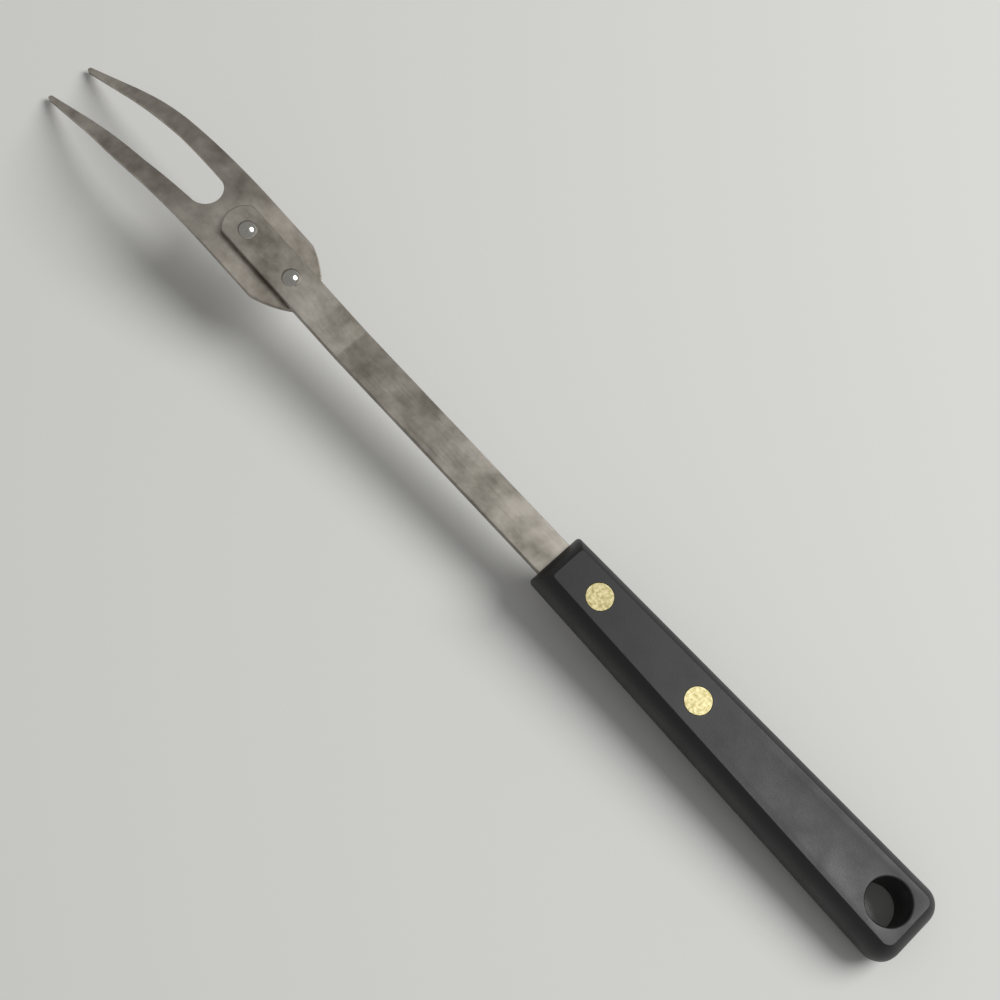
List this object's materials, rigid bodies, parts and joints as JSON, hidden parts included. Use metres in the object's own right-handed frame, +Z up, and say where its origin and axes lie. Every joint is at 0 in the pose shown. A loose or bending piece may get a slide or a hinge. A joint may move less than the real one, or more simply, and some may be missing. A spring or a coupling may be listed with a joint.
{
  "type": "carving fork",
  "caption": "Carving fork with a bowed, pronged steel head riveted under a flat steel shank and a tapered, straight-edged moulded handle with a hang hole.",
  "frame": {"origin": "bottom centre of the fork as it lies: midway along its length and width, on the surface that its tips and the handle's lower rear edge touch", "axes": "+X along the fork towards the tips, +Y to its left, +Z up from the surface it lies on"},
  "size_m": [0.3344, 0.0242, 0.0263],
  "materials": {
    "handle_plastic": "satin black moulded plastic with a fine grain",
    "shank_steel": "satin stainless strip, dulled and stained by use",
    "head_steel": "satin stainless sheet with faint brown stains",
    "rivet_steel": "polished domed head",
    "rivet_brass": "ground flush, pale and tarnished"
  },
  "bodies": {
    "root": {"handle": "handle_plastic", "shank": "shank_steel", "fork_head": "head_steel", "head_rivet_front": "rivet_steel", "head_rivet_rear": "rivet_steel", "rivet_tube_front": "rivet_brass", "rivet_pin_front": "rivet_brass", "rivet_tube_rear": "rivet_brass", "rivet_pin_rear": "rivet_brass"}
  },
  "joints": []
}
